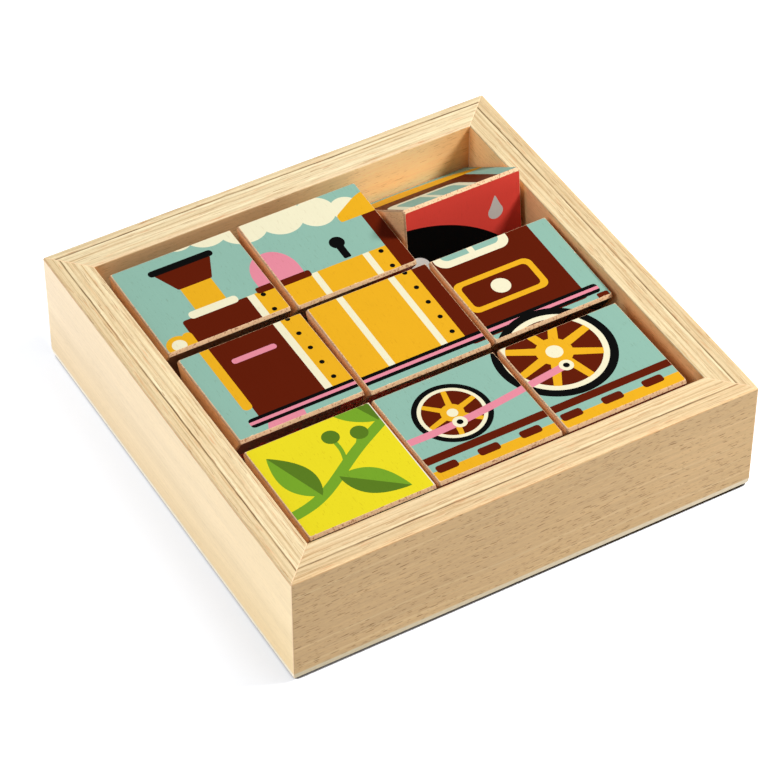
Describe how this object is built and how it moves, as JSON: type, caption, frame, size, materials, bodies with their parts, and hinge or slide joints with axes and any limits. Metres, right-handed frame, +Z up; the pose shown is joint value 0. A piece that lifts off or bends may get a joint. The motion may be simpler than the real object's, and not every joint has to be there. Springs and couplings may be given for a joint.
{
  "type": "rotating block puzzle",
  "caption": "Square mitred plywood tray with rows of three-sided printed wooden blocks that turn on dowels to change the picture.",
  "frame": {"origin": "centre of the tray's underside, on the surface it rests on", "axes": "+Z up; +X along the dowels, to the right; -Y towards the front rail"},
  "size_m": [0.2, 0.2, 0.0606],
  "materials": {
    "rail_plywood": "satin",
    "spline_plywood": "matt",
    "panel_plywood": "matt",
    "pin_steel": "satin",
    "dowel_beech": "satin",
    "spacer_beech": "satin",
    "block_beech": "satin, printed in flat inks on its three broad faces"
  },
  "bodies": {
    "tray": {"rail_front": "rail_plywood", "rail_back": "rail_plywood", "rail_left": "rail_plywood", "rail_right": "rail_plywood", "spline_front_left": "spline_plywood", "spline_front_right": "spline_plywood", "spline_back_left": "spline_plywood", "spline_back_right": "spline_plywood", "base_panel": "panel_plywood", "panel_pins": "pin_steel", "axle_back": "dowel_beech", "axle_middle": "dowel_beech", "axle_front": "dowel_beech", "spacers_back": "spacer_beech", "spacers_middle": "spacer_beech", "spacers_front": "spacer_beech"},
    "block_back_left": {"block_back_left": "block_beech"},
    "block_back_middle": {"block_back_middle": "block_beech"},
    "block_back_right": {"block_back_right": "block_beech"},
    "block_middle_left": {"block_middle_left": "block_beech"},
    "block_centre": {"block_centre": "block_beech"},
    "block_middle_right": {"block_middle_right": "block_beech"},
    "block_front_left": {"block_front_left": "block_beech"},
    "block_front_middle": {"block_front_middle": "block_beech"},
    "block_front_right": {"block_front_right": "block_beech"}
  },
  "joints": [
    {"name": "turn_back_left", "type": "hinge", "parent": "tray", "child": "block_back_left", "pos_m": [-0.0549, 0.05564, 0.03393], "axis": [1, 0, 0], "continuous": true},
    {"name": "turn_back_middle", "type": "hinge", "parent": "tray", "child": "block_back_middle", "pos_m": [0.00105, 0.05564, 0.03393], "axis": [1, 0, 0], "continuous": true},
    {"name": "turn_back_right", "type": "hinge", "parent": "tray", "child": "block_back_right", "pos_m": [0.0563, 0.05564, 0.03393], "axis": [1, 0, 0], "continuous": true},
    {"name": "turn_middle_left", "type": "hinge", "parent": "tray", "child": "block_middle_left", "pos_m": [-0.05395, 0, 0.03393], "axis": [1, 0, 0], "continuous": true},
    {"name": "turn_centre", "type": "hinge", "parent": "tray", "child": "block_centre", "pos_m": [0.0014, 0, 0.03393], "axis": [1, 0, 0], "continuous": true},
    {"name": "turn_middle_right", "type": "hinge", "parent": "tray", "child": "block_middle_right", "pos_m": [0.0564, 0, 0.03393], "axis": [1, 0, 0], "continuous": true},
    {"name": "turn_front_left", "type": "hinge", "parent": "tray", "child": "block_front_left", "pos_m": [-0.0555, -0.05564, 0.03393], "axis": [1, 0, 0], "continuous": true},
    {"name": "turn_front_middle", "type": "hinge", "parent": "tray", "child": "block_front_middle", "pos_m": [-0.0011, -0.05564, 0.03393], "axis": [1, 0, 0], "continuous": true},
    {"name": "turn_front_right", "type": "hinge", "parent": "tray", "child": "block_front_right", "pos_m": [0.054, -0.05564, 0.03393], "axis": [1, 0, 0], "continuous": true}
  ]
}
